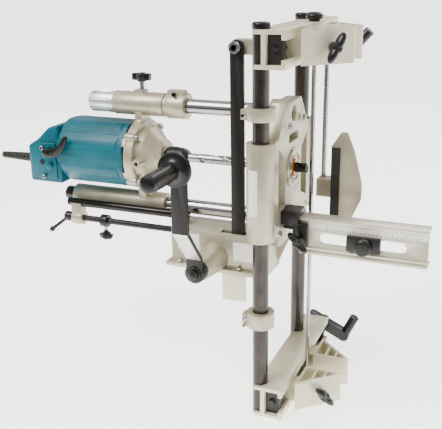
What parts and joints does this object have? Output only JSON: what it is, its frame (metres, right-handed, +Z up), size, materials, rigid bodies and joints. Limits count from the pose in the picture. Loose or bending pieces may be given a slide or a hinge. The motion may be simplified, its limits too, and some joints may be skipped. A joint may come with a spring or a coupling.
{
  "type": "lock mortising rig",
  "caption": "Portable door-lock mortising rig: a motor on guide rods, carried on upright rails between self-centring door clamps, with a hand lever and a slotted scale beam.",
  "frame": {"origin": "on the plane of the door's edge, on the spindle's mid-plane, half way between the two clamps", "axes": "+X into the door along the spindle, +Y to the back of the rig, +Z up along the rails"},
  "size_m": [0.799, 0.4823, 0.636],
  "materials": {
    "ground_steel": "ground and blackened bar with a polished surface",
    "cast_aluminium": "sand-cast, tumbled and lacquered",
    "extruded_aluminium": "extruded, pale anodised",
    "bright_steel": "zinc plated or ground steel",
    "turned_aluminium": "turned, fine brushed",
    "black_steel": "blackened steel",
    "black_plastic": "moulded, fine grain",
    "teal_plastic": "moulded nylon, semi gloss",
    "guard_rubber": "moulded soft rubber",
    "bronze": "turned bronze",
    "pad_rubber": "ribbed rubber",
    "motor_iron": "stacked steel laminations with windings"
  },
  "bodies": {
    "frame": {"front_rail": "ground_steel", "rear_rail": "ground_steel", "rail_caps": "black_plastic", "top_channel": "extruded_aluminium", "bottom_channel": "extruded_aluminium", "screw_bearings": "black_steel", "stop_bar": "bright_steel", "hanger_bracket": "cast_aluminium", "hanger_rod": "bright_steel", "upper_rail_collar": "cast_aluminium", "lower_rail_collar": "cast_aluminium", "frame_screws": "bright_steel", "link_bar": "ground_steel", "link_lug": "cast_aluminium"},
    "hanger_knob": {"hanger_knob": "black_plastic"},
    "pressure_unit": {"pressure_plate": "cast_aluminium", "pressure_pad": "pad_rubber"},
    "top_screw": {"top_screw": "bright_steel", "top_crank": "black_plastic"},
    "bottom_screw": {"bottom_screw": "bright_steel", "bottom_crank": "black_plastic"},
    "top_front_jaw": {"top_front_jaw": "extruded_aluminium"},
    "top_rear_jaw": {"top_rear_jaw": "extruded_aluminium"},
    "bottom_front_jaw": {"bottom_front_jaw": "extruded_aluminium"},
    "bottom_rear_jaw": {"bottom_rear_jaw": "extruded_aluminium"},
    "top_wing_knob": {"top_front_wing_knob": "black_plastic"},
    "bottom_wing_knob": {"bottom_front_wing_knob": "black_plastic"},
    "carriage": {"carriage_casting": "cast_aluminium", "rail_bushes": "bronze", "cutter_guide": "bright_steel", "carriage_bolts": "bright_steel", "crank_housing": "cast_aluminium", "lower_guide_rod": "ground_steel", "tie_rod": "black_steel", "tail_bracket": "cast_aluminium", "scale_beam": "extruded_aluminium", "beam_bracket": "black_steel"},
    "beam_knob": {"beam_knob": "black_plastic"},
    "beam_stop": {"stop_block": "black_steel"},
    "beam_stop_knob": {"stop_knob": "black_plastic"},
    "depth_stop_screw": {"stop_screw": "black_steel"},
    "depth_stop": {"stop_clamp": "black_steel"},
    "lever": {"crank_shaft": "black_steel", "lever_arm": "black_steel"},
    "lever_grip": {"lever_grip": "black_plastic"},
    "motor_head": {"head_casting": "cast_aluminium", "upper_guide_rod": "ground_steel", "lower_sleeve": "turned_aluminium", "depth_collar": "turned_aluminium", "head_screws": "bright_steel", "motor_housing": "teal_plastic", "motor_rear_cap": "teal_plastic", "cord_guard": "guard_rubber", "motor_stator": "motor_iron", "motor_bearings": "bright_steel"},
    "spindle": {"motor_spindle": "black_steel", "cutter": "bright_steel"},
    "fluted_knob": {"fluted_knob": "turned_aluminium"},
    "sleeve_clamp_knob": {"sleeve_clamp_knob": "black_plastic"},
    "switch_lever": {"switch_lever": "black_plastic"}
  },
  "joints": [
    {"name": "carriage_travel", "type": "slide", "parent": "frame", "child": "carriage", "axis": [0, 0, 1], "range_m": [-0.0337, 0.0337]},
    {"name": "lever_swing", "type": "hinge", "parent": "carriage", "child": "lever", "pos_m": [-0.145, 0, -0.0645], "axis": [0, 1, 0], "range_deg": [-56.5, 56.5]},
    {"name": "lever_grip_spin", "type": "hinge", "parent": "lever", "child": "lever_grip", "pos_m": [-0.145, 0, 0.1185], "axis": [0, 1, 0], "continuous": true},
    {"name": "plunge", "type": "slide", "parent": "carriage", "child": "motor_head", "axis": [1, 0, 0], "range_m": [0, 0.148]},
    {"name": "spindle_spin", "type": "hinge", "parent": "motor_head", "child": "spindle", "pos_m": [0, 0, 0.0855], "axis": [1, 0, 0], "continuous": true},
    {"name": "fluted_knob_turn", "type": "hinge", "parent": "motor_head", "child": "fluted_knob", "pos_m": [0, 0, 0.173], "axis": [1, 0, 0], "continuous": true},
    {"name": "sleeve_clamp_turn", "type": "hinge", "parent": "motor_head", "child": "sleeve_clamp_knob", "pos_m": [-0.297, 0, 0], "axis": [0, 0, 1], "continuous": true},
    {"name": "switch_lever_swing", "type": "hinge", "parent": "motor_head", "child": "switch_lever", "pos_m": [-0.459, 0, 0.0875], "axis": [0, 1, 0], "range_deg": [0, 30]},
    {"name": "depth_stop_screw_turn", "type": "hinge", "parent": "carriage", "child": "depth_stop_screw", "pos_m": [0, -0.03, -0.037], "axis": [1, 0, 0], "continuous": true},
    {"name": "depth_stop_slide", "type": "slide", "parent": "carriage", "child": "depth_stop", "axis": [1, 0, 0], "range_m": [-0.03, 0.12]},
    {"name": "beam_knob_turn", "type": "hinge", "parent": "carriage", "child": "beam_knob", "pos_m": [0.004, 0, -0.014], "axis": [0, 1, 0], "continuous": true},
    {"name": "beam_stop_slide", "type": "slide", "parent": "carriage", "child": "beam_stop", "axis": [1, 0, 0], "range_m": [-0.051, 0.04]},
    {"name": "beam_stop_knob_turn", "type": "hinge", "parent": "beam_stop", "child": "beam_stop_knob", "pos_m": [0.104, 0, -0.012], "axis": [0, 1, 0], "continuous": true},
    {"name": "hanger_knob_turn", "type": "hinge", "parent": "frame", "child": "hanger_knob", "pos_m": [-0.013, 0.05, 0], "axis": [0, 0, 1], "continuous": true},
    {"name": "pressure_slide", "type": "slide", "parent": "frame", "child": "pressure_unit", "axis": [0, 0, 1], "range_m": [0, 0.08]},
    {"name": "top_screw_turn", "type": "hinge", "parent": "frame", "child": "top_screw", "pos_m": [-0.0225, 0, 0.28225], "axis": [0, 1, 0], "range_deg": [-660, 480]},
    {"name": "top_front_jaw_slide", "type": "slide", "parent": "frame", "child": "top_front_jaw", "axis": [0, 1, 0], "range_m": [-0.0221, 0.0161]},
    {"name": "top_rear_jaw_slide", "type": "slide", "parent": "frame", "child": "top_rear_jaw", "axis": [0, 1, 0], "range_m": [-0.0161, 0.0221]},
    {"name": "top_wing_knob_turn", "type": "hinge", "parent": "top_front_jaw", "child": "top_wing_knob", "pos_m": [0.04172, -0.05308, 0.28225], "axis": [0.6768, -0.7362, 0], "continuous": true},
    {"name": "bottom_screw_turn", "type": "hinge", "parent": "frame", "child": "bottom_screw", "pos_m": [-0.0225, 0, -0.28225], "axis": [0, 1, 0], "range_deg": [-660, 480]},
    {"name": "bottom_front_jaw_slide", "type": "slide", "parent": "frame", "child": "bottom_front_jaw", "axis": [0, 1, 0], "range_m": [-0.0221, 0.0161]},
    {"name": "bottom_rear_jaw_slide", "type": "slide", "parent": "frame", "child": "bottom_rear_jaw", "axis": [0, 1, 0], "range_m": [-0.0161, 0.0221]},
    {"name": "bottom_wing_knob_turn", "type": "hinge", "parent": "bottom_front_jaw", "child": "bottom_wing_knob", "pos_m": [0.04172, -0.05308, -0.28225], "axis": [0.6768, -0.7362, 0], "continuous": true}
  ],
  "couplings": [
    {"joint": "lever_swing", "follows": "carriage_travel", "rad_per_m": 29.154},
    {"joint": "top_front_jaw_slide", "follows": "top_screw_turn", "m_per_rad": 0.0019099},
    {"joint": "top_rear_jaw_slide", "follows": "top_screw_turn", "m_per_rad": -0.0019099},
    {"joint": "bottom_front_jaw_slide", "follows": "bottom_screw_turn", "m_per_rad": 0.0019099},
    {"joint": "bottom_rear_jaw_slide", "follows": "bottom_screw_turn", "m_per_rad": -0.0019099}
  ]
}
